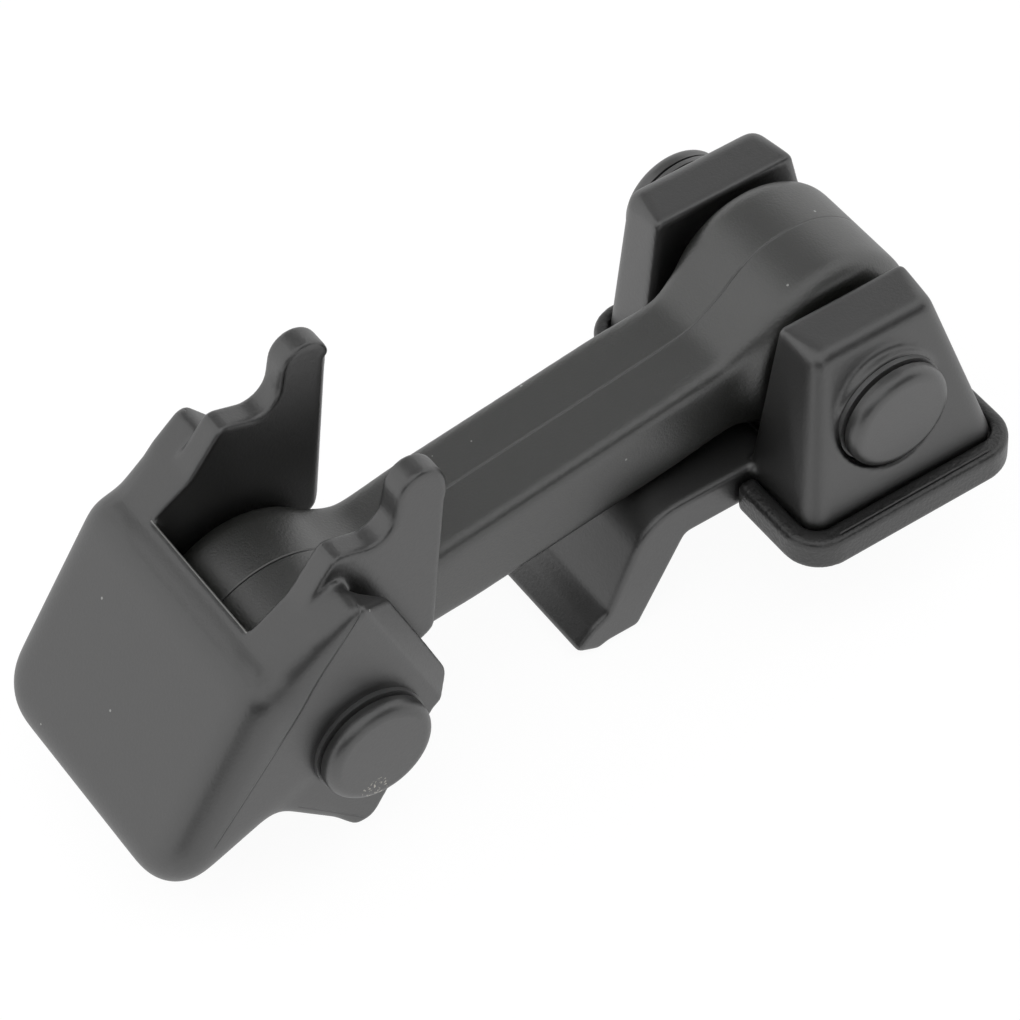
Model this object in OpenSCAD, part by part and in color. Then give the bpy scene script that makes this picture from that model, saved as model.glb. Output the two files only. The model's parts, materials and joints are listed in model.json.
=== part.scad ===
// Hood hold-down latch: a bolted bracket, a rubber strap and a claw handle, shown at rest.
// The origin is the middle of the bracket's underside, with +Z up from the mounting face.
// The strap runs towards -X and both pins lie along Y. All but the bracket and its frame are the
// same on both sides of Y = 0; those two reach further out on the near side, which is -Y.

/* [Base frame] */
// Length of the base frame, along the strap
plate_len = 40.6; // [40:0.2:60]
// How far the base frame's middle lies behind the base pin
plate_shift = 0.3; // [0:0.1:1]
// How far the base frame reaches out on the near side, from the middle of the strap
plate_near = 33.6; // [33:0.2:45]
// How far the base frame reaches out on the far side
plate_far = 26.4; // [26:0.2:45]
// Height of the base frame
plate_h = 5.6; // [4:0.2:7]
// Radius of the base frame's upright corners
plate_corner_r = 6.6; // [4:0.2:9]
// Gap between the base frame and the bracket inside it
frame_gap = 0.2; // [0.1:0.05:0.4]

/* [Bracket] */
// Length of a tower at its foot
tower_foot_len = 34.6; // [30:0.2:35]
// How far the middle of a tower's foot lies behind the base pin
tower_foot_shift = 0.6; // [0:0.1:0.8]
// Length of the near tower at its top
near_top_len = 22.8; // [20:0.2:26]
// Length of the far tower at its top
far_top_len = 25.4; // [20:0.2:28]
// How far the middle of the far tower's top lies ahead of the base pin
far_top_shift = 0.6; // [0:0.1:1]
// Distance from the middle of the strap to the near tower's outer face, at the foot
near_foot_y = 29.8; // [29:0.2:31]
// Distance from the middle of the strap to the far tower's outer face, at the foot
far_foot_y = 24; // [23.8:0.2:31]
// Distance between the towers' outer faces at the top
tower_top_wid = 46.4; // [44:0.2:50]
// Clear distance between the two towers
tower_gap = 27.2; // [26:0.2:30]
// Height of the towers above the mounting face
tower_h = 32.6; // [30:0.2:38]
// Radius of the towers' outer edges at the top
tower_edge_r = 2.8; // [1:0.1:3]
// Radius of the towers' outer edges at the foot
tower_foot_r = 3; // [1.8:0.1:3.4]
// Radius of the towers' edges beside the strap
tower_inner_r = 0.8; // [0.4:0.1:1.5]
// Height of the base pin above the mounting face
pin_h = 19; // [18.5:0.25:21]
// Distance of each pin head's seat from the middle of the bracket
base_seat_y = 25.6; // [24.8:0.1:26.4]
// Room between the strap's round end and the bracket's floor
floor_room = 0.6; // [0.4:0.1:1.5]
// Height of the floor behind the strap's round end
rear_floor_h = 5.6; // [4:0.2:7]

/* [Tongue] */
// Width of the tongue
tongue_wid = 30; // [29:0.5:34]
// Thickness of the tongue
tongue_t = 7.2; // [5:0.1:7.2]
// How far the level stretch of the tongue reaches from the middle of the bracket
tongue_level = 29; // [26:0.5:34]
// How far the tongue's tip reaches from the middle of the bracket
tongue_reach = 49.5; // [46:0.5:60]
// How far the tongue's foot lies below the mounting face
tongue_drop = 14.8; // [10:0.2:20]

/* [Fixing inserts] */
// Distance between the two threaded inserts
insert_spacing = 37; // [36.5:0.5:37.5]
// Radius of an insert's bore, for an M6 screw
insert_bore_r = 2.5; // [2:0.1:3]
// Outer radius of an insert
insert_r = 3.8; // [3.6:0.1:4]
// Length of an insert
insert_len = 10; // [6:0.5:11]

/* [Pins and heads] */
// Radius of both pins
pin_r = 5; // [3:0.25:5.5]
// Running clearance round a pin, on the radius
pin_clearance = 0.05; // [0.02:0.01:0.1]
// Radius of a pin head
head_r = 8.9; // [8:0.1:9.2]
// Thickness of a pin head's disc
head_t = 2.7; // [2:0.1:3.5]
// Radius of the rounded rim of a pin head
head_rim_r = 1.9; // [0.5:0.1:1.9]
// Radius of the narrow neck behind a pin head
neck_r = 7.4; // [6.5:0.1:7.8]
// Length of the narrow neck behind a pin head
neck_t = 0.6; // [0.3:0.1:1]
// Radius of a washer
washer_r = 9.2; // [8.9:0.1:9.6]
// Thickness of a washer
washer_t = 0.8; // [0.5:0.1:1.2]
// How far a pin reaches into its head's disc
pin_grip = 1.2; // [0.6:0.1:1.6]

/* [Strap] */
// Distance between the two pins
strap_len = 92; // [84:1:120]
// How steeply the strap falls from the base pin to the handle pin, in degrees
strap_drop = 7.5; // [7.5:0.25:8]
// Thickness of the strap between its ends
strap_t = 14.8; // [11:0.2:14.8]
// Width of the strap between its ends
strap_wid = 19.4; // [12:0.2:22]
// Radius of the strap's long edges
strap_edge_r = 2; // [1:0.25:4.5]
// Radius of the strap's round ends
barrel_r = 15.4; // [13:0.1:15.4]
// Radius of the edges of the round ends
barrel_edge_r = 3.75; // [1:0.25:5]
// How far the round end at the bracket is set beyond its pin
barrel_beyond = 1; // [0:0.1:1.5]
// Width of the round end in the bracket
base_barrel_wid = 24.2; // [22:0.1:26]
// Width of the round end in the handle
handle_barrel_wid = 25; // [22:0.1:25.2]
// How far the flare of a round end runs out along the strap
flare_len = 16.5; // [16:0.5:24]
// Wall of the sleeves that line the strap's two holes
sleeve_wall = 2; // [1:0.25:3]

/* [Handle] */
// Width of the handle
handle_wid = 48; // [46:0.5:60]
// How far the handle's nose is tipped up, in degrees
handle_pitch = 14.5; // [10:0.5:20]
// Height of the handle's top above its pin
top_h = 22.5; // [21.5:0.5:26]
// Distance from the pin back to the ridge between the top and the grip
ridge_back = 11.2; // [8:0.2:14]
// Slope of the grip below the top, in degrees
grip_slope = 41; // [38:1:44]
// Length of the grip from the ridge to its rounded tail
grip_len = 36.5; // [34:0.5:44]
// Radius of the tail's corners, seen from above the grip
tail_corner_r = 8.5; // [6:0.5:12]
// Radius of the grip's outer edges
grip_edge_r = 5; // [2:0.1:5]
// How much wider the grip is on each side than the cheeks
grip_flare = 0.5; // [0.1:0.1:1]
// Thickness of the handle's outer wall
shell_t = 3.4; // [2.4:0.2:4]
// Thickness of the handle's two cheeks
cheek_t = 4.5; // [3.5:0.25:5]
// Clear distance between the two claws
claw_gap = 25.6; // [25.4:0.1:27]
// Thickness of a claw
claw_t = 4.5; // [3:0.1:4.6]
// Size of the bevel on the inner side of each claw's front edge
claw_bevel = 1.4; // [0.6:0.1:2]
// Distance from the pin back to the closed end of the slot in the top
slot_back = 5.6; // [4:0.2:7]

/* [Hidden] */
$fn = 64;
HULL_FN = 32;

MOULDED = [0.13, 0.13, 0.13];
RUBBER = [0.15, 0.155, 0.145];
STEEL = [0.62, 0.63, 0.65];
BRASS = [0.75, 0.6, 0.3];
EPS = 0.01;
REACH = 100;

barrel_room_r = barrel_r + barrel_beyond + floor_room;
sleeve_r = pin_r + pin_clearance + sleeve_wall;
press_gap = 0.02;
head_room = 0.3;
handle_half = handle_wid / 2;
cheek_in = handle_half - cheek_t;
claw_in = claw_gap / 2;
claw_out = claw_in + claw_t;

// Where the handle pin lies when the strap is at rest
handle_pin_at = [-strap_len * cos(strap_drop), 0, pin_h - strap_len * sin(strap_drop)];

// Points of an arc in the plane, from angle a to angle b
function arc(c, r, a, b, steps = 8) =
    [for (i = [0:steps]) let (t = a + (b - a) * i / steps) [c[0] + r * cos(t), c[1] + r * sin(t)]];

// Puts its children into the frame of the strap, whose +X end is at the base pin
module strap_place() {
    translate([0, 0, pin_h]) rotate([0, -strap_drop, 0]) children();
}

// Puts its children into the frame of the handle, whose origin is the handle pin
module handle_place() {
    translate(handle_pin_at) rotate([0, -handle_pitch, 0]) children();
}

// Both sides of the part
module both_sides() {
    children();
    mirror([0, 1, 0]) children();
}

// An outline drawn in X and Z, extruded across from y0 to y1
module across(y0, y1) {
    translate([0, y1, 0]) rotate([90, 0, 0]) linear_extrude(y1 - y0) children();
}

// A round bar along Y, from y0 to y1
module bar_y(r, y0, y1) {
    translate([0, y1, 0]) rotate([90, 0, 0]) cylinder(r = r, h = y1 - y0);
}

// A ring turned round the Y axis from a profile whose X is the radius and whose Y is the place along the axis
module turned() {
    rotate([-90, 0, 0]) rotate_extrude() children();
}

// A rectangle with round corners, centred
module round_rect(len, wid, r) {
    square([len - 2 * r, wid], center = true);
    square([len, wid - 2 * r], center = true);
    for (x = [-1, 1], y = [-1, 1]) translate([x * (len / 2 - r), y * (wid / 2 - r)]) circle(r);
}

// The frame round the bracket's foot, open where the tongue runs out
module base_frame() {
    foot_wid = near_foot_y + far_foot_y + 2 * frame_gap;
    color(MOULDED) difference() {
        translate([plate_shift, (plate_far - plate_near) / 2, 0]) linear_extrude(plate_h)
            round_rect(plate_len, plate_near + plate_far, plate_corner_r);
        translate([tower_foot_shift, (far_foot_y - near_foot_y) / 2, -EPS])
            linear_extrude(plate_h + 2 * EPS)
                round_rect(tower_foot_len + 2 * frame_gap, foot_wid, tower_foot_r + frame_gap);
        translate([-REACH, -tongue_wid / 2 - frame_gap, -EPS])
            cube([REACH, tongue_wid + 2 * frame_gap, plate_h + 2 * EPS]);
    }
}

// One tower, tapered on its two ends and its outer face, which stands at foot_y at the foot
module tower(foot_y, top_len, top_shift) {
    hull() {
        for (x = [-1, 1]) {
            for (inner = [0, 1]) {
                r_foot = inner == 1 ? tower_inner_r : tower_foot_r;
                r_top = inner == 1 ? tower_inner_r : tower_edge_r;
                y_foot = inner == 1 ? tower_gap / 2 + r_foot : foot_y - r_foot;
                y_top = inner == 1 ? tower_gap / 2 + r_top : tower_top_wid / 2 - r_top;
                translate([tower_foot_shift + x * (tower_foot_len / 2 - r_foot), y_foot, 0])
                    cylinder(r = r_foot, h = plate_h, $fn = HULL_FN);
                translate([x * (top_len / 2 - r_top) - top_shift, y_top, tower_h - r_top])
                    sphere(r = r_top, $fn = HULL_FN);
            }
        }
    }
}

// Side view of the tongue, from inside the bracket out to its tip
// A bend of radius r between the directions a0 and a1 ends the level top and starts the slope.
tongue_slope = 63;
tongue_bend_r = 9;
tongue_top_bend = [-tongue_level - 1.2, tongue_t - tongue_bend_r];
toe_step = [2.9, 1.6];
toe_heel = 0.6;
tongue_side = concat(
    [[-barrel_r * 0.75, 0], [-tongue_level, 0],
     [-tongue_level - tongue_drop / tan(tongue_slope) - 1.5, -tongue_drop],
     [-tongue_reach + 6, -tongue_drop], [-tongue_reach + 4, -tongue_drop - toe_heel],
     [-tongue_reach + 0.6, -tongue_drop + 1],
     [-tongue_reach, -tongue_drop + 1.8],
     [-tongue_reach + 3, -tongue_drop + 4.6],
     [-tongue_reach + 3 + toe_step[0], -tongue_drop + 4.6 + toe_step[1]]],
    arc(tongue_top_bend, tongue_bend_r, 90 + tongue_slope, 90, 8),
    [[-barrel_r * 0.75, tongue_t]]);

// The floor between the towers, hollowed for the strap's round end
module bracket_floor() {
    translate([tower_foot_shift - tower_foot_len / 2, -tower_gap / 2 - tower_edge_r, 0])
        cube([tower_foot_len, tower_gap + 2 * tower_edge_r, rear_floor_h]);
    across(-tongue_wid / 2, tongue_wid / 2) polygon(tongue_side);
}

module base_bracket() {
    color(MOULDED) difference() {
        union() {
            tower(far_foot_y, far_top_len, far_top_shift);
            mirror([0, 1, 0]) tower(near_foot_y, near_top_len, 0);
            difference() {
                bracket_floor();
                translate([0, 0, pin_h]) bar_y(barrel_room_r, -tower_gap / 2, tower_gap / 2);
            }
            both_sides() translate([0, 0, pin_h])
                bar_y(washer_r + head_room, tower_gap / 2 + EPS, base_seat_y);
        }
        translate([0, 0, pin_h]) {
            bar_y(pin_r + pin_clearance, -REACH, REACH);
            both_sides() bar_y(washer_r + head_room, base_seat_y, REACH);
        }
        for (side = [-1, 1]) translate([0, side * insert_spacing / 2, -EPS])
            cylinder(r = insert_r + press_gap, h = insert_len + EPS);
    }
}

// A threaded insert, open at both ends; its bore is the thread's inner radius
module insert(side) {
    color(BRASS) translate([0, side * insert_spacing / 2, 0]) difference() {
        cylinder(r = insert_r, h = insert_len);
        translate([0, 0, -EPS]) cylinder(r = insert_bore_r, h = insert_len + 2 * EPS);
    }
}

module near_insert() { insert(-1); }
module far_insert() { insert(1); }

// Where the outer face of a pin head lies, from the seat that its washer rests on
function head_face(seat) = seat + washer_t + neck_t + head_t;
// Where the end of a pin lies
function pin_end(seat) = head_face(seat) - head_t + pin_grip;

module pin_bar(seat) {
    color(STEEL) bar_y(pin_r, -pin_end(seat), pin_end(seat));
}

module washer(seat) {
    color(STEEL) turned() translate([pin_r + pin_clearance, seat])
        square([washer_r - pin_r - pin_clearance, washer_t]);
}

// A pin head: a rounded disc on a narrow neck, with a blind hole for the pin
module head(seat) {
    face = head_face(seat);
    back = face - head_t;
    color(MOULDED) difference() {
        turned() {
            translate([0, seat + washer_t]) square([neck_r, neck_t + EPS]);
            translate([0, back]) square([head_r, head_t - head_rim_r]);
            translate([0, back]) square([head_r - head_rim_r, head_t]);
            translate([head_r - head_rim_r, face - head_rim_r]) intersection() {
                circle(head_rim_r);
                square(head_rim_r);
            }
        }
        bar_y(pin_r + press_gap, 0, pin_end(seat) + press_gap);
    }
}

module base_pin() { translate([0, 0, pin_h]) pin_bar(base_seat_y); }
module base_far_head() { translate([0, 0, pin_h]) head(base_seat_y); }
module base_near_head() { mirror([0, 1, 0]) base_far_head(); }
module base_far_washer() { translate([0, 0, pin_h]) washer(base_seat_y); }
module base_near_washer() { mirror([0, 1, 0]) base_far_washer(); }

module handle_pin() { handle_place() pin_bar(handle_half); }
module handle_far_head() { handle_place() head(handle_half); }
module handle_near_head() { mirror([0, 1, 0]) handle_far_head(); }
module handle_far_washer() { handle_place() washer(handle_half); }
module handle_near_washer() { mirror([0, 1, 0]) handle_far_washer(); }

// The straight body of the strap, from one round end to the other
module strap_body() {
    translate([-strap_len, 0, 0]) rotate([0, 90, 0]) linear_extrude(strap_len)
        round_rect(strap_t, strap_wid, strap_edge_r);
}

// A round end with rounded edges, about the Y axis
module barrel(wid) {
    turned() round_end_section(wid);
}

module round_end_section(wid) {
    translate([0, -wid / 2]) square([barrel_r - barrel_edge_r, wid]);
    translate([0, -wid / 2 + barrel_edge_r]) square([barrel_r, wid - 2 * barrel_edge_r]);
    for (side = [-1, 1]) translate([barrel_r - barrel_edge_r, side * (wid / 2 - barrel_edge_r)])
        circle(barrel_edge_r);
}

// The flare that leads from the strap's body into a round end, along -X
module flare(wid) {
    root = barrel_r * 0.62;
    root_z = sqrt(pow(barrel_r, 2) - pow(root, 2)) - 1.2;
    skin = 0.05;
    r = strap_edge_r;
    hull() {
        for (y = [-1, 1], z = [-1, 1]) {
            translate([-flare_len, y * (strap_wid / 2 - r - skin), z * (strap_t / 2 - r - skin)])
                sphere(r = r, $fn = HULL_FN);
            translate([-root, y * (wid / 2 - barrel_edge_r), z * (root_z - r)])
                sphere(r = r, $fn = HULL_FN);
        }
    }
}

module strap() {
    color(RUBBER) strap_place() difference() {
        union() {
            strap_body();
            translate([barrel_beyond, 0, 0]) barrel(base_barrel_wid);
            translate([-strap_len, 0, 0]) barrel(handle_barrel_wid);
            flare(base_barrel_wid);
            translate([-strap_len, 0, 0]) mirror([1, 0, 0]) flare(handle_barrel_wid);
        }
        bar_y(sleeve_r + press_gap, -REACH, REACH);
        translate([-strap_len, 0, 0]) bar_y(sleeve_r + press_gap, -REACH, REACH);
    }
}

// A sleeve that lines one of the strap's holes and turns on the pin
module sleeve(wid) {
    color(STEEL) turned() translate([pin_r + pin_clearance, -wid / 2]) square([sleeve_wall, wid]);
}

module strap_base_sleeve() { strap_place() sleeve(base_barrel_wid); }
module strap_handle_sleeve() { strap_place() translate([-strap_len, 0, 0]) sleeve(handle_barrel_wid); }

// The handle, drawn about its pin with the top level. X runs forward to the claws.
// The top steps up over a short ramp to the front edge.
ramp_start = -1.2;
front_x = 8.4;
front_rise = 3.8;
front_edge_r = 1.4;
top_edge_r = 5.2;
grip_dir = [-cos(grip_slope), -sin(grip_slope)];
grip_out = [-sin(grip_slope), cos(grip_slope)];
// A point of the handle's side view, s along the grip from the ridge and d out from its face
function on_grip(s, d) = [-ridge_back, top_h] + s * grip_dir + d * grip_out;
function at(p, y) = [p[0], y, p[1]];
// Lower edge of the side walls at the tail, and where it meets the lobe that carries the pin
tail_low = [-31, -2.4];
notch = [-20.6, 1.6];

// The outer form of the top and the grip
module handle_outside() {
    ridge_in = tan(grip_slope / 2) * grip_edge_r;
    hull() both_sides() {
        translate([-ridge_back + ridge_in, handle_half + grip_flare - grip_edge_r, top_h - grip_edge_r])
            sphere(r = grip_edge_r, $fn = HULL_FN);
        translate([ramp_start, handle_half - top_edge_r, top_h - top_edge_r])
            sphere(r = top_edge_r, $fn = HULL_FN);
        translate(at(on_grip(grip_len - tail_corner_r, -grip_edge_r), handle_half + grip_flare - tail_corner_r))
            rotate([0, -grip_slope, 0]) rotate_extrude($fn = HULL_FN) intersection() {
                translate([tail_corner_r - grip_edge_r, 0]) circle(grip_edge_r, $fn = HULL_FN);
                translate([0, -grip_edge_r]) square(2 * grip_edge_r);
            }
        for (p = [tail_low, notch, [front_x, notch[1]]])
            translate(at(p + [0.6, 1], handle_half - 1)) sphere(r = 1, $fn = 16);
    }
}

// The ramp that rises from the top to the front edge
module handle_ramp() {
    hull() both_sides() {
        translate([ramp_start - top_edge_r, handle_half - top_edge_r, top_h - top_edge_r])
            sphere(r = top_edge_r, $fn = HULL_FN);
        translate([front_x - front_edge_r, handle_half - front_edge_r, top_h + front_rise - front_edge_r])
            sphere(r = front_edge_r, $fn = HULL_FN);
        for (x = [ramp_start - top_edge_r, front_x + 0.6])
            translate([x - 1, handle_half - 1, top_h - shell_t * 3]) sphere(r = 1, $fn = 16);
    }
}

// Side view of a cheek, at its inner face: a rounded foot below the pin and a leaning front edge
cheek_lean = atan2(3.3, 25.9);
cheek_front_top = [8.1, 25.9];
lobe_foot = [-5.85, -14.2];
lobe_foot_r = 3.2;
lobe_nose = [13.9, -2.8];
lobe_nose_r = 1.4;
cheek_side = concat(
    [[-21.4, 1.5], [-20.4, 1.75], [-19.5, 1.6], [-18.6, 0.6]],
    arc(lobe_foot, lobe_foot_r, 211, 311, 8),
    [[9.9, -5.1], [10.8, -4.5], [12.3, -4.2]],
    arc(lobe_nose, lobe_nose_r, -60, 5, 4),
    [[13.3, 18.4], [front_x, top_h + front_rise - 0.6], [0, top_h - 1], [-14, 14]]);

// One cheek, whose front face is bevelled: it reaches further forward on the inside
module cheek() {
    difference() {
        across(cheek_in, handle_half) polygon(cheek_side);
        translate(at(cheek_front_top, handle_half)) rotate([0, -cheek_lean, 0]) rotate([0, 0, 45])
            translate([0, -REACH, -REACH]) cube([REACH, 2 * REACH, 2 * REACH]);
    }
}

// The hollow inside the handle, open below and in front
hollow_tail = grip_len - shell_t - 3;
hollow_side = [
    on_grip(tan(grip_slope / 2) * -shell_t, -shell_t),
    [ramp_start + 0.5, top_h - shell_t],
    [front_x + 30, top_h - shell_t + (30 + front_x - ramp_start) * front_rise / (front_x - ramp_start)],
    [front_x + 30, -40], [-12, -40], notch + [-3, -8],
    on_grip(hollow_tail, -grip_edge_r * 2.5),
    on_grip(hollow_tail, -shell_t)];

// Side view of a claw: a bar sits in the dip between the peak and the hooked tip
peak = [9.4, 27.7];
peak_r = 2.1;
dip = [15.7, 31.1];
dip_r = 4.2;
tip = [24.5, 30.1];
tip_r = 4.1;
claw_front_top = [27.2, 25.8];
claw_front_low = [17.8, 2.9];
boss_r = 9.4;
claw_lean = atan2(claw_front_top[0] - claw_front_low[0], claw_front_top[1] - claw_front_low[1]);
claw_side = concat(
    [[13, 1], [16, 1.6], [17.3, 2.1], claw_front_low, claw_front_top, [28, 27]],
    arc(tip, tip_r, -10, 148, 10),
    arc(dip, dip_r, -28, -112, 6),
    arc(peak, peak_r, 62, 128, 5),
    [[2.2, 25.2], [ramp_start, top_h], [-slot_back - 2, top_h - EPS], [-slot_back - 2, top_h - shell_t]],
    [[-boss_r - 1.5, top_h - shell_t], [-boss_r, 4]],
    arc([0, 0], boss_r, 180, 320, 12));

// One claw, with a bevel along the inner side of its front edge
module claw() {
    difference() {
        across(claw_in, claw_out) polygon(claw_side);
        translate([claw_front_top[0] - claw_bevel, claw_in, claw_front_top[1]]) rotate([0, claw_lean, 0])
            rotate([0, 0, -45]) translate([0, -REACH, -REACH * 0.3]) cube([REACH, 2 * REACH, REACH * 0.34]);
    }
}

module handle() {
    color(MOULDED) handle_place() difference() {
        union() {
            difference() {
                union() {
                    handle_outside();
                    handle_ramp();
                    both_sides() cheek();
                }
                across(-cheek_in, cheek_in) polygon(hollow_side);
                translate([-slot_back, -claw_in, 0]) cube([REACH, claw_gap, REACH]);
            }
            both_sides() claw();
        }
        bar_y(pin_r + pin_clearance, -REACH, REACH);
        both_sides() bar_y(washer_r + head_room, handle_half, REACH);
    }
}

base_bracket();
base_frame();
near_insert();
far_insert();
base_pin();
base_near_head();
base_far_head();
base_near_washer();
base_far_washer();
strap();
strap_base_sleeve();
strap_handle_sleeve();
handle();
handle_pin();
handle_near_head();
handle_far_head();
handle_near_washer();
handle_far_washer();
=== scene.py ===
"""Hood hold-down latch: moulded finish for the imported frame, with the stage, lights and camera."""

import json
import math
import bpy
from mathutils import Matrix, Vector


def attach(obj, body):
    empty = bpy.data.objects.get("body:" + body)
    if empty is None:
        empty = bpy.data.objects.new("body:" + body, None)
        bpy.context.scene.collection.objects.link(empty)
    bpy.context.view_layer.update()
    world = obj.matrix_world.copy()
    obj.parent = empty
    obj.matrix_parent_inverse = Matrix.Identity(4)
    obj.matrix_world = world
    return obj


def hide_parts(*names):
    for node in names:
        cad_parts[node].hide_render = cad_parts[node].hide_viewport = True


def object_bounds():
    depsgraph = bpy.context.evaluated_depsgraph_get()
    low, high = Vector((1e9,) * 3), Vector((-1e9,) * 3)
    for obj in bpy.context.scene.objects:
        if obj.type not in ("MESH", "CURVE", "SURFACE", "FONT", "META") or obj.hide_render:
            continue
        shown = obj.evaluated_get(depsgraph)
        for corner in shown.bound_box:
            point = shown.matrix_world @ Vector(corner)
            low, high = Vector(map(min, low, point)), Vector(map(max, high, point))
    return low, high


bl_info = {
    "name": "Hood hold-down latch",
    "version": (1, 0, 0),
    "blender": (4, 5, 0),
    "location": "View3D > Sidebar > Latch",
    "description": "Gives the latch its plastic, rubber and metal finish and sets up its studio stage",
    "category": "Object",
}

import bpy
import numpy as np
import openvdb as vdb
from mathutils import Matrix, Vector

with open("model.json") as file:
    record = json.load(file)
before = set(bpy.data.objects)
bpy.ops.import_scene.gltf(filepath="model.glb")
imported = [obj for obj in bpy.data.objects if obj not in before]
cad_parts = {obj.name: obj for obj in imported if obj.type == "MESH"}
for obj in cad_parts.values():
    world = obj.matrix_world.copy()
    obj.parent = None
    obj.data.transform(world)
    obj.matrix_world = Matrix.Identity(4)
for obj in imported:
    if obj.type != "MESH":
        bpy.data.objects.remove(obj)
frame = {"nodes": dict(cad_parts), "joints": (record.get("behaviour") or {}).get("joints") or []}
cad_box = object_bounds()

MM = 0.001

# The handle's own frame has X forward to its claws and Z up from its pin; all of these are in millimetres
HANDLE_PITCH = 14.5
CHEEK_SEAMS = (((8.0, 25.9), (-27.0, 1.9)), ((-13.6, -3.6), (-6.3, -16.1)))
CHEEK_SIDE = 22.5
SLOT_EDGE = (-5.85, 21.0)
SLOT_HALF = 12.9
# Where the grip and the top's long edges are smoothed: a distance backwards, sideways or upwards from the pin
# at which the smoothing starts, and the stretch over which it sets in
GRIP_BACK = (7.5, 2.5)
EDGE_SIDE = (18.5, 2)
EDGE_BACK = (-2, 3)
EDGE_HEIGHT = (12, 3)

# The strap's surface grid and edges, and where it flares out from its pins, in millimetres
STRAP_GRID = 0.4
STRAP_EDGE_R = 0.6
FLARE_PLACE = 16.5
FLARE_REACH = 13.0
FLARE_BLEND = 8.0

# How far the smoothing of the grip and of the strap's flares spreads, in grid steps
GRIP_SPREAD = 4.0
FLARE_SPREAD = 3.0

# The frame's rounding and the mould line along its near side, in millimetres
RIM_EDGE_R = 0.5
RIM_LINE_Y = -32.4
RIM_LINE_ENDS = (-13.5, 14.5)

# Scuffs on the rim of the handle's near head, in metres
SCUFF_PLACE = (-0.0932, -0.028, 0.0008)
SCUFF_RADIUS = 0.0022

# Colours of the details: washers, dust, the scuffs, the painted highlight along the slot's edge, and the dark
# mould lines
WASHER_COLOUR = (0.05, 0.05, 0.05, 1)
DUST_COLOUR = (0.25, 0.25, 0.24, 1)
SCUFF_COLOUR = (0.42, 0.39, 0.34, 1)
SLOT_HIGHLIGHT_COLOUR = (0.2, 0.2, 0.19, 1)
LINE_COLOUR = (0.002, 0.002, 0.002, 1)

# The stage: the floor's half width in metres, and how white it looks when it is mirrored or seen
FLOOR_HALF = 3.0
FLOOR_GLOW = 1.04
FLOOR_MIRRORED = 0.8
FLOOR_SEEN = 0.9
DOME_STRENGTH = 1.2
# Dark cards: name, direction from the latch, distance, width and height in metres, and how pale each is
CARDS = (("front_card", (0.35, -0.73, 0.50), 1.5, 1.5, 0.85, 0.01),
         ("left_card", (-0.75, -0.75, 0.26), 1.5, 1.5, 0.75, 0.01),
         ("right_card", (0.15, 0.52, 0.84), 1.6, 1.5, 1.5, 0.4))


# Directions and places in the frame

def turn_about_y(degrees):
    """Rotation that lifts a piece's nose (+X) by that angle."""
    return Matrix.Rotation(math.radians(-degrees), 3, "Y")


def joint_place(name):
    """Where a joint's axis crosses the middle plane, in millimetres."""
    joint = next(j for j in frame["joints"] if j["name"] == name)
    return Vector(joint["pos_m"]) / MM


# Level sets: a closed mesh becomes a distance field, whose edges and corners can be rounded

class Field:
    """A distance field in millimetres on a regular grid that holds one node with room to spare."""

    BAND = 5

    def __init__(self, low, high, voxel):
        self.voxel = voxel
        margin = self.BAND + 3
        self.start = tuple(int(math.floor(v / voxel)) - margin for v in low)
        stop = tuple(int(math.ceil(v / voxel)) + margin for v in high)
        self.shape = tuple(b - a + 1 for a, b in zip(self.start, stop))
        self.far = self.BAND * voxel
        self.values = np.full(self.shape, self.far, np.float32)

    def points(self):
        """Coordinates of the grid along X, Y and Z, ready to be broadcast."""
        axes = [(np.arange(n) + a) * self.voxel for n, a in zip(self.shape, self.start)]
        x, y, z = np.meshgrid(*axes, indexing="ij", sparse=True)
        return x, y, z

    def copy(self, values):
        """A field on the same grid with other values."""
        other = object.__new__(Field)
        other.__dict__.update(self.__dict__)
        other.values = values
        return other


def closed_mesh(node):
    """Vertices in millimetres and triangles of a frame node."""
    mesh = frame["nodes"][node].data
    corners = np.empty(len(mesh.vertices) * 3, np.float32)
    mesh.vertices.foreach_get("co", corners)
    mesh.calc_loop_triangles()
    triangles = np.empty(len(mesh.loop_triangles) * 3, np.int32)
    mesh.loop_triangles.foreach_get("vertices", triangles)
    return corners.reshape(-1, 3) / MM, triangles.reshape(-1, 3)


def level_set(points, triangles, voxel, reach):
    """Distance grid of a closed mesh, true within reach of its surface."""
    return vdb.FloatGrid.createLevelSetFromPolygons(
        np.ascontiguousarray(points, np.float32), triangles=np.ascontiguousarray(triangles, np.uint32),
        transform=vdb.createLinearTransform(voxelSize=voxel), halfWidth=reach / voxel + 2)


def split_quads(points, triangles, quads):
    """One array of triangles from a level set's triangles and quads."""
    parts = [np.asarray(triangles, np.int64).reshape(-1, 3)]
    quads = np.asarray(quads, np.int64).reshape(-1, 4)
    parts += [quads[:, [0, 1, 2]], quads[:, [0, 2, 3]]]
    return np.asarray(points, np.float32), np.concatenate(parts)[:, ::-1]


def shifted(points, triangles, distance, voxel):
    """The mesh moved outwards by distance, or inwards where it is negative."""
    grid = level_set(points, triangles, voxel, abs(distance))
    return split_quads(*grid.convertToPolygons(isovalue=distance, adaptivity=0))


def filleted(points, triangles, radius, voxel):
    """Inner corners filled to a radius."""
    return shifted(*shifted(points, triangles, radius, voxel), -radius, voxel)


def eased(points, triangles, radius, voxel):
    """Outer edges rounded to a radius."""
    return shifted(*shifted(points, triangles, -radius, voxel), radius, voxel)


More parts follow.
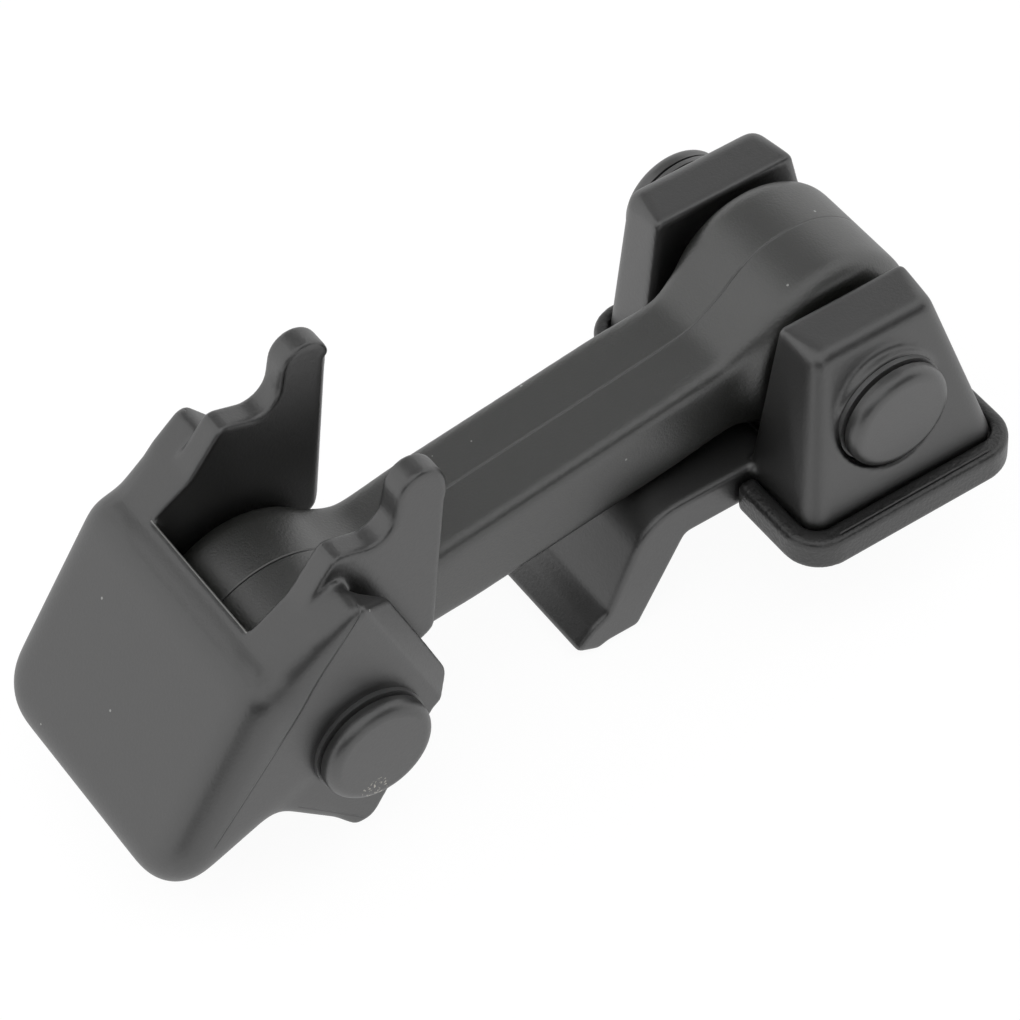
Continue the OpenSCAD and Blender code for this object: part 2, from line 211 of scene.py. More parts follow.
def field_of(points, triangles, like):
    """A mesh's distance field on the same grid as another field."""
    grid = level_set(points, triangles, like.voxel, (Field.BAND - 2) * like.voxel)
    values = np.full(like.shape, like.far, np.float32)
    grid.copyToArray(values, ijk=like.start)
    return like.copy(np.clip(values, -like.far, like.far))


def softened(field, spread):
    """The field blurred over a distance in voxels, which takes out facets and steps."""
    reach = int(math.ceil(spread * 3))
    offsets = np.arange(-reach, reach + 1)
    weights = np.exp(-0.5 * (offsets / spread) ** 2)
    weights /= weights.sum()
    values = field.values
    for axis in range(3):
        total = np.zeros_like(values)
        for offset, weight in zip(offsets, weights):
            total += weight * np.roll(values, offset, axis)
        values = total
    return field.copy(values)


def mixed(field, other, share):
    """Two fields, the second counting by a share from 0 to 1."""
    return field.copy(field.values * (1 - share) + other.values * share)


def surface_of(field, name, most=180000):
    """The zero surface of a field as a Blender object in metres, thinned to at most that many triangles."""
    grid = vdb.FloatGrid(field.far)
    grid.gridClass = vdb.GridClass.LEVEL_SET
    grid.copyFromArray(field.values, ijk=field.start)
    grid.transform = vdb.createLinearTransform(voxelSize=field.voxel)
    points, triangles = split_quads(*grid.convertToPolygons(isovalue=0, adaptivity=0))
    mesh = bpy.data.meshes.new(name)
    mesh.from_pydata([], [], [])
    mesh.vertices.add(len(points))
    mesh.vertices.foreach_set("co", (points * MM).ravel())
    mesh.loops.add(len(triangles) * 3)
    mesh.loops.foreach_set("vertex_index", triangles.ravel().astype(np.int32))
    mesh.polygons.add(len(triangles))
    mesh.polygons.foreach_set("loop_start", np.arange(0, len(triangles) * 3, 3, dtype=np.int32))
    mesh.update(calc_edges=True)
    piece = bpy.data.objects.new(name, mesh)
    bpy.context.scene.collection.objects.link(piece)
    if len(triangles) > most:
        thin = piece.modifiers.new("thin", "DECIMATE")
        thin.ratio = most / len(triangles)
        bake_modifiers(piece)
    piece.data.shade_smooth()
    return piece


def bake_modifiers(piece):
    """Applies a piece's modifiers to its mesh."""
    graph = bpy.context.evaluated_depsgraph_get()
    mesh = bpy.data.meshes.new_from_object(piece.evaluated_get(graph))
    piece.modifiers.clear()
    old = piece.data
    piece.data = mesh
    bpy.data.meshes.remove(old)


def near_sphere(field, centre, radius, soft):
    """Share from 1 inside a ball to 0 outside it, over a soft border."""
    x, y, z = field.points()
    distance = np.sqrt((x - centre[0]) ** 2 + (y - centre[1]) ** 2 + (z - centre[2]) ** 2)
    return smooth_step((radius - distance) / soft + 0.5)


def smooth_step(t):
    """Even step from 0 to 1 as t goes from 0 to 1."""
    t = np.clip(t, 0, 1)
    return (t * t * (3 - 2 * t)).astype(np.float32)


def past(value, start, stretch):
    """Share that rises from 0 at a start to 1 over a stretch."""
    return smooth_step((value - start) / stretch)


def moulded(node, name, voxel, edge_r, fillet_r, soft=0.7, flowing=()):
    """A moulded version of a node, with its edges and inner corners rounded.

    Each flowing place is (share function, spread in voxels), where the form runs on without a crease."""
    points, triangles = closed_mesh(node)
    field = Field(points.min(0), points.max(0), voxel)
    shape = (points, triangles)
    if fillet_r > 0:
        shape = filleted(*shape, fillet_r, voxel)
    if edge_r > 0:
        shape = eased(*shape, edge_r, voxel)
    result = field_of(*shape, field)
    for share, spread in flowing:
        result = mixed(result, softened(result, spread), share(field))
    return surface_of(softened(result, soft), name)


# Shader node groups

def group_socket(group, name, kind, default=None, low=None, high=None, out=False):
    """Adds a named socket to a node group."""
    socket = group.interface.new_socket(name=name, in_out="OUTPUT" if out else "INPUT", socket_type=kind)
    if default is not None:
        socket.default_value = default
    if low is not None:
        socket.min_value = low
    if high is not None:
        socket.max_value = high
    return socket


def add_node(tree, kind, x, y, **settings):
    """A node at a place in the tree, with settings on the node and values on its inputs."""
    node = tree.nodes.new(kind)
    node.location = (x, y)
    for key, value in settings.items():
        if hasattr(node, key):
            setattr(node, key, value)
        else:
            node.inputs[key.replace("_", " ")].default_value = value
    return node


def grain_group():
    """Fine moulded grain: a height, and a slow mottle of the surface."""
    group = bpy.data.node_groups.new("moulded grain", "ShaderNodeTree")
    group_socket(group, "Vector", "NodeSocketVector")
    group_socket(group, "Grain size", "NodeSocketFloat", 0.00045, 0.00001, 0.01)
    group_socket(group, "Mottle size", "NodeSocketFloat", 0.012, 0.001, 0.1)
    group_socket(group, "Height", "NodeSocketFloat", out=True)
    group_socket(group, "Mottle", "NodeSocketFloat", out=True)
    inside = add_node(group, "NodeGroupInput", -900, 0)
    outside = add_node(group, "NodeGroupOutput", 500, 0)
    link = group.links.new
    for label, size, detail, place in (("Height", "Grain size", 2.0, 200),
                                       ("Mottle", "Mottle size", 3.0, -200)):
        scale = add_node(group, "ShaderNodeMath", -650, place - 100, operation="DIVIDE")
        scale.inputs[0].default_value = 1.0
        link(inside.outputs[size], scale.inputs[1])
        noise = add_node(group, "ShaderNodeTexNoise", -350, place, Detail=detail, Roughness=0.55)
        link(inside.outputs["Vector"], noise.inputs["Vector"])
        link(scale.outputs[0], noise.inputs["Scale"])
        link(noise.outputs["Fac"], outside.inputs[label])
    return group


def specks_group():
    """Small pale specks of dust, scattered sparsely."""
    group = bpy.data.node_groups.new("dust specks", "ShaderNodeTree")
    group_socket(group, "Vector", "NodeSocketVector")
    group_socket(group, "Spacing", "NodeSocketFloat", 0.006, 0.0005, 0.05)
    group_socket(group, "Speck size", "NodeSocketFloat", 0.035, 0.0, 0.5)
    group_socket(group, "Share", "NodeSocketFloat", 0.35, 0.0, 1.0)
    group_socket(group, "Mask", "NodeSocketFloat", out=True)
    inside = add_node(group, "NodeGroupInput", -900, 0)
    outside = add_node(group, "NodeGroupOutput", 500, 0)
    link = group.links.new
    scale = add_node(group, "ShaderNodeMath", -700, -120, operation="DIVIDE")
    scale.inputs[0].default_value = 1.0
    link(inside.outputs["Spacing"], scale.inputs[1])
    cells = add_node(group, "ShaderNodeTexVoronoi", -450, 0)
    link(inside.outputs["Vector"], cells.inputs["Vector"])
    link(scale.outputs[0], cells.inputs["Scale"])
    close = add_node(group, "ShaderNodeMath", -200, 80, operation="LESS_THAN")
    link(cells.outputs["Distance"], close.inputs[0])
    link(inside.outputs["Speck size"], close.inputs[1])
    tint = add_node(group, "ShaderNodeSeparateColor", -200, -120)
    link(cells.outputs["Color"], tint.inputs[0])
    picked = add_node(group, "ShaderNodeMath", 0, -120, operation="LESS_THAN")
    link(tint.outputs[0], picked.inputs[0])
    link(inside.outputs["Share"], picked.inputs[1])
    both = add_node(group, "ShaderNodeMath", 220, 0, operation="MULTIPLY")
    link(close.outputs[0], both.inputs[0])
    link(picked.outputs[0], both.inputs[1])
    link(both.outputs[0], outside.inputs["Mask"])
    return group


def line_group():
    """A thin line where a surface crosses a plane, drawn as a mould line or as a painted highlight along an
    edge.

    It runs between two ends, and between two distances from the middle plane."""
    group = bpy.data.node_groups.new("line mark", "ShaderNodeTree")
    group_socket(group, "Vector", "NodeSocketVector")
    group_socket(group, "Across", "NodeSocketVector")
    group_socket(group, "Along", "NodeSocketVector")
    for name, default in (("Place", 0.0), ("Width", 0.0002), ("From", -1.0), ("To", 1.0), ("Beyond", -1.0),
                          ("Within", 1.0)):
        group_socket(group, name, "NodeSocketFloat", default)
    group_socket(group, "Mask", "NodeSocketFloat", out=True)
    inside = add_node(group, "NodeGroupInput", -1100, 0)
    outside = add_node(group, "NodeGroupOutput", 700, 0)
    link = group.links.new

    def maths(operation, x, y, first, second):
        node = add_node(group, "ShaderNodeMath", x, y, operation=operation)
        link(first, node.inputs[0])
        if second is not None:
            link(second, node.inputs[1])
        return node.outputs[0]

    across = add_node(group, "ShaderNodeVectorMath", -850, 200, operation="DOT_PRODUCT")
    link(inside.outputs["Vector"], across.inputs[0])
    link(inside.outputs["Across"], across.inputs[1])
    along = add_node(group, "ShaderNodeVectorMath", -850, -50, operation="DOT_PRODUCT")
    link(inside.outputs["Vector"], along.inputs[0])
    link(inside.outputs["Along"], along.inputs[1])
    axes = add_node(group, "ShaderNodeSeparateXYZ", -850, -300)
    link(inside.outputs["Vector"], axes.inputs[0])
    off = maths("SUBTRACT", -650, 200, across.outputs["Value"], inside.outputs["Place"])
    away = maths("ABSOLUTE", -500, 200, off, None)
    share_off = maths("DIVIDE", -350, 200, away, inside.outputs["Width"])
    fade = add_node(group, "ShaderNodeMapRange", -200, 200, interpolation_type="SMOOTHSTEP")
    fade.inputs["To Min"].default_value = 1.0
    fade.inputs["To Max"].default_value = 0.0
    link(share_off, fade.inputs["Value"])
    started = maths("GREATER_THAN", -350, 0, along.outputs["Value"], inside.outputs["From"])
    before = maths("LESS_THAN", -350, -150, along.outputs["Value"], inside.outputs["To"])
    side = maths("ABSOLUTE", -650, -300, axes.outputs["Y"], None)
    beyond = maths("GREATER_THAN", -350, -300, side, inside.outputs["Beyond"])
    total = maths("MULTIPLY", 0, 100, fade.outputs["Result"], started)
    total = maths("MULTIPLY", 200, 0, total, before)
    total = maths("MULTIPLY", 400, -100, total, beyond)
    within = maths("LESS_THAN", -350, -450, side, inside.outputs["Within"])
    total = maths("MULTIPLY", 550, -100, total, within)
    link(total, outside.inputs["Mask"])
    return group


def scuff_group():
    """Broken pale scuffs inside a small ball."""
    group = bpy.data.node_groups.new("scuffs", "ShaderNodeTree")
    group_socket(group, "Vector", "NodeSocketVector")
    group_socket(group, "Middle", "NodeSocketVector")
    group_socket(group, "Radius", "NodeSocketFloat", 0.002)
    group_socket(group, "Mask", "NodeSocketFloat", out=True)
    inside = add_node(group, "NodeGroupInput", -900, 0)
    outside = add_node(group, "NodeGroupOutput", 500, 0)
    link = group.links.new
    away = add_node(group, "ShaderNodeVectorMath", -650, 100, operation="DISTANCE")
    link(inside.outputs["Vector"], away.inputs[0])
    link(inside.outputs["Middle"], away.inputs[1])
    close = add_node(group, "ShaderNodeMath", -400, 100, operation="LESS_THAN")
    link(away.outputs["Value"], close.inputs[0])
    link(inside.outputs["Radius"], close.inputs[1])
    flakes = add_node(group, "ShaderNodeTexNoise", -650, -150, Scale=1900.0, Detail=3.0, Roughness=0.6)
    link(inside.outputs["Vector"], flakes.inputs["Vector"])
    sharp = add_node(group, "ShaderNodeMapRange", -400, -150)
    sharp.inputs["From Min"].default_value = 0.56
    sharp.inputs["From Max"].default_value = 0.64
    link(flakes.outputs["Fac"], sharp.inputs["Value"])
    both = add_node(group, "ShaderNodeMath", -100, 0, operation="MULTIPLY")
    link(close.outputs[0], both.inputs[0])
    link(sharp.outputs["Result"], both.inputs[1])
    link(both.outputs[0], outside.inputs["Mask"])
    return group


def shared_group(name, build):
    """A node group by name, built the first time it is asked for."""
    return bpy.data.node_groups.get(name) or build()


def moulded_material(name, colour, roughness, grain, grain_size, mottle, specks=0.3, gloss=1.0):
    """Matte moulded plastic or rubber with fine grain, a slow mottle and a few specks of dust."""
    material = bpy.data.materials.new(name)
    material.use_nodes = True
    tree = material.node_tree
    tree.nodes.clear()
    link = tree.links.new
    place = add_node(tree, "ShaderNodeTexCoord", -1200, 0)
    surface = add_node(tree, "ShaderNodeGroup", -900, 100)
    surface.node_tree = shared_group("moulded grain", grain_group)
    surface.inputs["Grain size"].default_value = grain_size
    link(place.outputs["Object"], surface.inputs["Vector"])
    dust = add_node(tree, "ShaderNodeGroup", -900, -200)
    dust.node_tree = shared_group("dust specks", specks_group)
    dust.inputs["Share"].default_value = specks
    link(place.outputs["Object"], dust.inputs["Vector"])
    tone = add_node(tree, "ShaderNodeMapRange", -650, 150)
    tone.inputs["From Min"].default_value = 0.3
    tone.inputs["From Max"].default_value = 0.7
    tone.inputs["To Min"].default_value = 1 - mottle
    tone.inputs["To Max"].default_value = 1 + mottle
    link(surface.outputs["Mottle"], tone.inputs["Value"])
    base = add_node(tree, "ShaderNodeVectorMath", -450, 150, operation="SCALE")
    base.inputs[0].default_value = colour[:3]
    link(tone.outputs["Result"], base.inputs["Scale"])
    dusty = add_node(tree, "ShaderNodeMix", -250, 100, data_type="RGBA")
    dusty.inputs["B"].default_value = DUST_COLOUR
    link(dust.outputs["Mask"], dusty.inputs["Factor"])
    link(base.outputs["Vector"], dusty.inputs["A"])
    matte = add_node(tree, "ShaderNodeMapRange", -450, -100)
    matte.inputs["To Min"].default_value = roughness - 0.05
    matte.inputs["To Max"].default_value = roughness + 0.05
    link(surface.outputs["Height"], matte.inputs["Value"])
    bump = add_node(tree, "ShaderNodeBump", -250, -250, Strength=1.0, Distance=grain)
    link(surface.outputs["Height"], bump.inputs["Height"])
    shader = add_node(tree, "ShaderNodeBsdfPrincipled", 0, 0)
    shader.inputs["Specular IOR Level"].default_value = gloss
    shader.inputs["IOR"].default_value = 1.64
    link(dusty.outputs["Result"], shader.inputs["Base Color"])
    link(matte.outputs["Result"], shader.inputs["Roughness"])
    link(bump.outputs["Normal"], shader.inputs["Normal"])
    output = add_node(tree, "ShaderNodeOutputMaterial", 300, 0)
    link(shader.outputs["BSDF"], output.inputs["Surface"])
    return material


def shader_of(material):
    """The material's main shader."""
    return next(n for n in material.node_tree.nodes if n.type == "BSDF_PRINCIPLED")


def add_mould_or_highlight_line(material, across, place, width=0.00022, along=(1, 0, 0), start=-1.0, stop=1.0,
                   beyond=-1.0, within=1.0, depth=0.00012, strength=0.75, colour=LINE_COLOUR):
    """Draws a fine line in a finished material, a mould line or a painted highlight: a small groove with a
    colour of its own.
    """
    tree = material.node_tree
    link = tree.links.new
    shader = shader_of(material)
    place_of = next(n for n in tree.nodes if n.type == "TEX_COORD")
    line = add_node(tree, "ShaderNodeGroup", -900, -600)
    line.node_tree = shared_group("line mark", line_group)
    line.inputs["Across"].default_value = across
    line.inputs["Along"].default_value = along
    for name, value in (("Place", place), ("Width", width), ("From", start), ("To", stop),
                        ("Beyond", beyond), ("Within", within)):
        line.inputs[name].default_value = value
    link(place_of.outputs["Object"], line.inputs["Vector"])
    for socket_name in ("Base Color", "Normal"):
        socket = shader.inputs[socket_name]
        before = socket.links[0].from_socket
        if socket_name == "Normal":
            groove = add_node(tree, "ShaderNodeBump", -100, -500, Strength=1.0, Distance=depth)
            groove.invert = True
            link(line.outputs["Mask"], groove.inputs["Height"])
            link(before, groove.inputs["Normal"])
            link(groove.outputs["Normal"], socket)
        else:
            shade_line = add_node(tree, "ShaderNodeMix", -100, 300, data_type="RGBA")
            shade_line.inputs["B"].default_value = colour
            amount = add_node(tree, "ShaderNodeMath", -300, 400, operation="MULTIPLY")
            amount.inputs[1].default_value = strength
            link(line.outputs["Mask"], amount.inputs[0])
            link(amount.outputs[0], shade_line.inputs["Factor"])
            link(before, shade_line.inputs["A"])
            link(shade_line.outputs["Result"], socket)


def add_scuffs(material, middle, radius):
    """Adds pale scuffs inside a ball to a finished material."""
    tree = material.node_tree
    link = tree.links.new
    socket = shader_of(material).inputs["Base Color"]
    before = socket.links[0].from_socket
    scuffs = add_node(tree, "ShaderNodeGroup", -500, 600)
    scuffs.node_tree = shared_group("scuffs", scuff_group)
    scuffs.inputs["Middle"].default_value = middle
    scuffs.inputs["Radius"].default_value = radius
    place_of = next(n for n in tree.nodes if n.type == "TEX_COORD")
    link(place_of.outputs["Object"], scuffs.inputs["Vector"])
    worn = add_node(tree, "ShaderNodeMix", -50, 500, data_type="RGBA")
    worn.inputs["B"].default_value = SCUFF_COLOUR
    link(scuffs.outputs["Mask"], worn.inputs["Factor"])
    link(before, worn.inputs["A"])
    link(worn.outputs["Result"], socket)


def metal_material(name, colour, roughness):
    """Plain turned metal with a slight mottle."""
    material = bpy.data.materials.new(name)
    material.use_nodes = True
    tree = material.node_tree
    shader = tree.nodes["Principled BSDF"]
    shader.inputs["Metallic"].default_value = 1.0
    shader.inputs["Base Color"].default_value = colour
    place = add_node(tree, "ShaderNodeTexCoord", -900, 0)
    surface = add_node(tree, "ShaderNodeGroup", -650, 0)
    surface.node_tree = shared_group("moulded grain", grain_group)
    surface.inputs["Grain size"].default_value = 0.0008
    matte = add_node(tree, "ShaderNodeMapRange", -350, 0)
    matte.inputs["To Min"].default_value = roughness - 0.08
    matte.inputs["To Max"].default_value = roughness + 0.08
    tree.links.new(place.outputs["Object"], surface.inputs["Vector"])
    tree.links.new(surface.outputs["Height"], matte.inputs["Value"])
    tree.links.new(matte.outputs["Result"], shader.inputs["Roughness"])
    return material


def finish_node(node, material):
    """Gives a frame node that stays as it is a finished material."""
    mesh = frame["nodes"][node].data
    mesh.materials.clear()
    mesh.materials.append(material)


def place_piece(piece, body, material, nodes):
    """Puts a finished piece on its body in place of the nodes it stands for."""
    piece.data.materials.clear()
    piece.data.materials.append(material)
    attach(piece, body)
    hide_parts(*nodes)


# Sizes and colours that a user would change

def length(name, text, default):
    """A length in metres that a user can set."""
    return bpy.props.FloatProperty(name=name, description=text, default=default, unit="LENGTH", precision=5)


def shade(name, text, default):
    """A colour that a user can set."""
    return bpy.props.FloatVectorProperty(name=name, description=text, default=default, subtype="COLOR",
                                         size=4, min=0, max=1)


def fraction(name, text, default):
    """A share from 0 to 1 that a user can set."""
    return bpy.props.FloatProperty(name=name, description=text, default=default, min=0, max=1)


class LatchMoulding(bpy.types.PropertyGroup):
    grid: length("Grid", "Spacing of the points on a moulded surface", 0.0003)
    edge_r: length("Edge radius", "Rounding of the moulded edges", 0.0003)
    fillet_r: length("Fillet radius", "Rounding of the moulded inner corners", 0.0003)
    flare_r: length("Flare radius", "Rounding where the strap runs into its round ends", 0.004)


class LatchColours(bpy.types.PropertyGroup):
    plastic: shade("Plastic", "Colour of the handle and the bracket", (0.004, 0.004, 0.0038, 1))
    rim: shade("Frame", "Colour of the base frame", (0.004, 0.004, 0.0039, 1))
    heads: shade("Heads", "Colour of the pin heads", (0.012, 0.012, 0.0117, 1))
    rubber: shade("Rubber", "Colour of the strap", (0.007, 0.0076, 0.0058, 1))
    steel: shade("Steel", "Colour of the pins and sleeves", (0.5, 0.5, 0.51, 1))
    brass: shade("Brass", "Colour of the threaded inserts", (0.7, 0.55, 0.28, 1))
    roughness: fraction("Roughness", "Roughness of the moulded plastic", 0.4)
    rubber_roughness: fraction("Rubber roughness", "Roughness of the strap", 0.42)


class LatchStage(bpy.types.PropertyGroup):
    look_at: bpy.props.FloatVectorProperty(
        name="Look at", description="Point on the mounting plane at the middle of the picture",
        default=(-0.0476, 0.00467, 0.0), subtype="TRANSLATION", size=3)
    distance: length("Distance", "From the camera to the middle of the picture", 0.64977)
    azimuth: bpy.props.FloatProperty(name="Azimuth", description="Direction of the view, from +Y towards +X",
                                     default=math.radians(31.595), subtype="ANGLE")
    elevation: bpy.props.FloatProperty(name="Elevation", description="Height of the camera above the floor",
                                       default=math.radians(48.798), subtype="ANGLE")
    roll: bpy.props.FloatProperty(name="Roll", description="Turn of the camera about its own axis",
                                  default=math.radians(3.617), subtype="ANGLE")
    focal: bpy.props.FloatProperty(name="Focal length", description="Focal length on a 36 mm sensor",
                                   default=152.25)
    light: bpy.props.FloatProperty(name="Light", description="Strength of the studio light", default=1.0,
                                   min=0)


def settings():
    """The scene's settings for the latch."""
    return bpy.context.scene.latch


class LatchSettings(bpy.types.PropertyGroup):
    moulding: bpy.props.PointerProperty(type=LatchMoulding)
    colours: bpy.props.PointerProperty(type=LatchColours)
    stage: bpy.props.PointerProperty(type=LatchStage)


def plastic(name, colour, grain=0.00003, grain_size=0.00045, mottle=0.1, specks=0.25, gloss=1.0):
    """Moulded plastic with the roughness that all of the latch's plastic has."""
    roughness = settings().colours.roughness
    return moulded_material(name, colour, roughness, grain, grain_size, mottle, specks, gloss)


class LATCH_OT_handle(bpy.types.Operator):
    """Makes the moulded claw handle"""
    bl_idname = "latch.handle"
    bl_label = "Handle"

    def execute(self, context):
        sizes = settings().moulding
        pin = joint_place("handle_pivot")
        turn = turn_about_y(HANDLE_PITCH)
        unturned = turn.inverted()

        def at_grip(field):
            x, y, z = (c - p for c, p in zip(field.points(), pin))
            ahead = unturned[0][0] * x + unturned[0][2] * z
            above = unturned[2][0] * x + unturned[2][2] * z
            edges = past(np.abs(y), *EDGE_SIDE) * past(-ahead, *EDGE_BACK) * past(above, *EDGE_HEIGHT)
            return np.maximum(past(-ahead, *GRIP_BACK), edges)

        piece = moulded("handle", "handle_moulding", sizes.grid / MM, sizes.edge_r / MM, sizes.fillet_r / MM,
                        flowing=[(at_grip, GRIP_SPREAD)])
        finish = plastic("handle plastic", settings().colours.plastic)
        for first, last in CHEEK_SEAMS:
            ends = [(pin + turn @ Vector((x, 0, z))) * MM for x, z in (first, last)]
            along = (ends[1] - ends[0]).normalized()
            across = along.cross(Vector((0, 1, 0)))
            add_mould_or_highlight_line(finish, across, across.dot(ends[0]), along=along, start=along.dot(ends[0]),
                           stop=along.dot(ends[1]), beyond=CHEEK_SIDE * MM)
        ahead, upward = turn @ Vector((1, 0, 0)), turn @ Vector((0, 0, 1))
        edge = (pin + turn @ Vector((SLOT_EDGE[0], 0, SLOT_EDGE[1]))) * MM
        # A thin pale line along the slot's back edge, raised a little: a painted highlight where the edge
        # catches the light
        add_mould_or_highlight_line(finish, ahead, ahead.dot(edge), width=0.0002, along=upward, start=upward.dot(edge),
                       within=SLOT_HALF * MM, strength=1.0, depth=-0.00006, colour=SLOT_HIGHLIGHT_COLOUR)
        place_piece(piece, "handle", finish, ["handle"])
        return {"FINISHED"}


class LATCH_OT_bracket(bpy.types.Operator):
    """Makes the moulded bracket and the frame round its foot"""
    bl_idname = "latch.bracket"
    bl_label = "Bracket and frame"

    def execute(self, context):
        sizes = settings().moulding
        grid = sizes.grid / MM
        bracket = moulded("base_bracket", "bracket_moulding", grid, sizes.edge_r / MM, sizes.fillet_r / MM)
        place_piece(bracket, "base", plastic("bracket plastic", settings().colours.plastic),
                    ["base_bracket"])
        rim = moulded("base_frame", "frame_moulding", grid, RIM_EDGE_R, 0.0)
        rim_colour = settings().colours.rim
        matte = plastic("frame plastic", rim_colour, grain=0.00012, grain_size=0.0006, gloss=0.65)
        start, stop = (end * MM for end in RIM_LINE_ENDS)
        add_mould_or_highlight_line(matte, (0, 1, 0), RIM_LINE_Y * MM, width=0.0003, start=start, stop=stop, strength=0.4)
        place_piece(rim, "base", matte, ["base_frame"])
        return {"FINISHED"}


class LATCH_OT_strap(bpy.types.Operator):
    """Makes the rubber strap"""
    bl_idname = "latch.strap"
    bl_label = "Strap"

    def execute(self, context):
        sizes = settings().moulding
        colours = settings().colours
        near_pin, far_pin = joint_place("strap_pivot"), joint_place("handle_pivot")
        run = (far_pin - near_pin).normalized()
        flares = [near_pin + run * FLARE_PLACE, far_pin - run * FLARE_PLACE]

        def at_flares(field):
            return np.maximum(*[near_sphere(field, flare, FLARE_REACH, FLARE_BLEND) for flare in flares])

        piece = moulded("strap", "strap_rubber", STRAP_GRID, STRAP_EDGE_R, sizes.flare_r / MM, soft=1.0,
                        flowing=[(at_flares, FLARE_SPREAD)])
        rubber = moulded_material("strap rubber", colours.rubber, colours.rubber_roughness, grain=0.00005,
                                  grain_size=0.0004, mottle=0.14)
        add_mould_or_highlight_line(rubber, (0, 1, 0), 0.0, width=0.00028)
        place_piece(piece, "strap", rubber, ["strap"])
        return {"FINISHED"}


class LATCH_OT_heads(bpy.types.Operator):
    """Finishes the four pin heads and their washers"""
    bl_idname = "latch.heads"
    bl_label = "Pin heads"

    def execute(self, context):
        head = plastic("head plastic", settings().colours.heads)
        add_scuffs(head, SCUFF_PLACE, SCUFF_RADIUS)
        washer = plastic("washer plastic", WASHER_COLOUR)
        for end in ("base", "handle"):
            for side in ("near", "far"):
                finish_node(f"{end}_{side}_head", head)
                finish_node(f"{end}_{side}_washer", washer)
        return {"FINISHED"}


class LATCH_OT_metal(bpy.types.Operator):
    """Finishes the pins, sleeves and threaded inserts"""
    bl_idname = "latch.metal"
    bl_label = "Pins and inserts"

    def execute(self, context):
        colours = settings().colours
        steel = metal_material("turned steel", colours.steel, 0.32)
        brass = metal_material("turned brass", colours.brass, 0.35)
        for node in ("base_pin", "handle_pin", "strap_base_sleeve", "strap_handle_sleeve"):
            finish_node(node, steel)
        for node in ("near_insert", "far_insert"):
            finish_node(node, brass)
        return {"FINISHED"}


def aimed(location, target):
    """Rotation that points an object's -Z from a place at a target."""
    return (Vector(target) - Vector(location)).to_track_quat("-Z", "Y").to_euler()


def seen_plainly(tree, x, y):
    """Socket that is 1 for camera, glossy and transmission rays, which see the white background."""
    rays = add_node(tree, "ShaderNodeLightPath", x, y)
    total = rays.outputs["Is Camera Ray"]
    for step, name in enumerate(("Is Glossy Ray", "Is Transmission Ray")):
        either = add_node(tree, "ShaderNodeMath", x + 200 * (step + 1), y, operation="MAXIMUM")
        tree.links.new(total, either.inputs[0])
        tree.links.new(rays.outputs[name], either.inputs[1])
        total = either.outputs[0]
    return total


def studio_world(strength):
    """An even pale dome, and white where it is seen or mirrored."""
    world = bpy.data.worlds.new("studio")
    bpy.context.scene.world = world
    world.use_nodes = True
    tree = world.node_tree
    tree.nodes.clear()
    link = tree.links.new
    dome = add_node(tree, "ShaderNodeBackground", -400, 0, Strength=strength)
    dome.inputs["Color"].default_value = (1, 1, 1, 1)
    white = add_node(tree, "ShaderNodeBackground", -400, -200, Strength=1.0)
    white.inputs["Color"].default_value = (1, 1, 1, 1)
    mix = add_node(tree, "ShaderNodeMixShader", -100, 0)
    link(seen_plainly(tree, -1100, 300), mix.inputs["Fac"])
    link(dome.outputs["Background"], mix.inputs[1])
    link(white.outputs["Background"], mix.inputs[2])
    output = add_node(tree, "ShaderNodeOutputWorld", 150, 0)
    link(mix.outputs["Shader"], output.inputs["Surface"])


def floor_material():
    """Pale floor that shows white where it is seen or mirrored, but keeps the shadow."""
    material = bpy.data.materials.new("pale floor")
    material.use_nodes = True
    tree = material.node_tree
    tree.nodes.clear()
    link = tree.links.new
    matte = add_node(tree, "ShaderNodeBsdfDiffuse", -400, 0)
    matte.inputs["Color"].default_value = (0.9, 0.9, 0.9, 1)
    glow = add_node(tree, "ShaderNodeEmission", -400, -200)
    glow.inputs["Strength"].default_value = FLOOR_GLOW
    rays = add_node(tree, "ShaderNodeLightPath", -1200, 500)
    shares = add_node(tree, "ShaderNodeMapRange", -900, 500)
    shares.inputs["To Min"].default_value = FLOOR_MIRRORED
    shares.inputs["To Max"].default_value = FLOOR_SEEN
    link(rays.outputs["Is Camera Ray"], shares.inputs["Value"])
    plain = add_node(tree, "ShaderNodeMath", -450, 250, operation="MULTIPLY")
    link(seen_plainly(tree, -1200, 250), plain.inputs[0])
    link(shares.outputs["Result"], plain.inputs[1])
    mix = add_node(tree, "ShaderNodeMixShader", -100, 0)
    link(plain.outputs[0], mix.inputs["Fac"])
    link(matte.outputs["BSDF"], mix.inputs[1])
    link(glow.outputs["Emission"], mix.inputs[2])
    output = add_node(tree, "ShaderNodeOutputMaterial", 150, 0)
    link(mix.outputs["Shader"], output.inputs["Surface"])
    return material


def dark_card(name, direction, distance, width, height, tone):
    """A dark studio card, seen only in reflections: it darkens what faces it."""
    mesh = bpy.data.meshes.new(name)
    corners = [(x * width / 2, y * height / 2, 0) for x, y in ((-1, -1), (1, -1), (1, 1), (-1, 1))]
    mesh.from_pydata(corners, [], [(0, 1, 2, 3)])
    black = bpy.data.materials.new(name)
    black.use_nodes = True
    shader = black.node_tree.nodes["Principled BSDF"]
    shader.inputs["Base Color"].default_value = (tone, tone, tone, 1)
    shader.inputs["Roughness"].default_value = 1.0
    mesh.materials.append(black)
    card = bpy.data.objects.new(name, mesh)
    card.location = Vector(direction).normalized() * distance
    card.rotation_euler = aimed(card.location, (0, 0, 0))
    card.visible_camera = False
    bpy.context.scene.collection.objects.link(card)


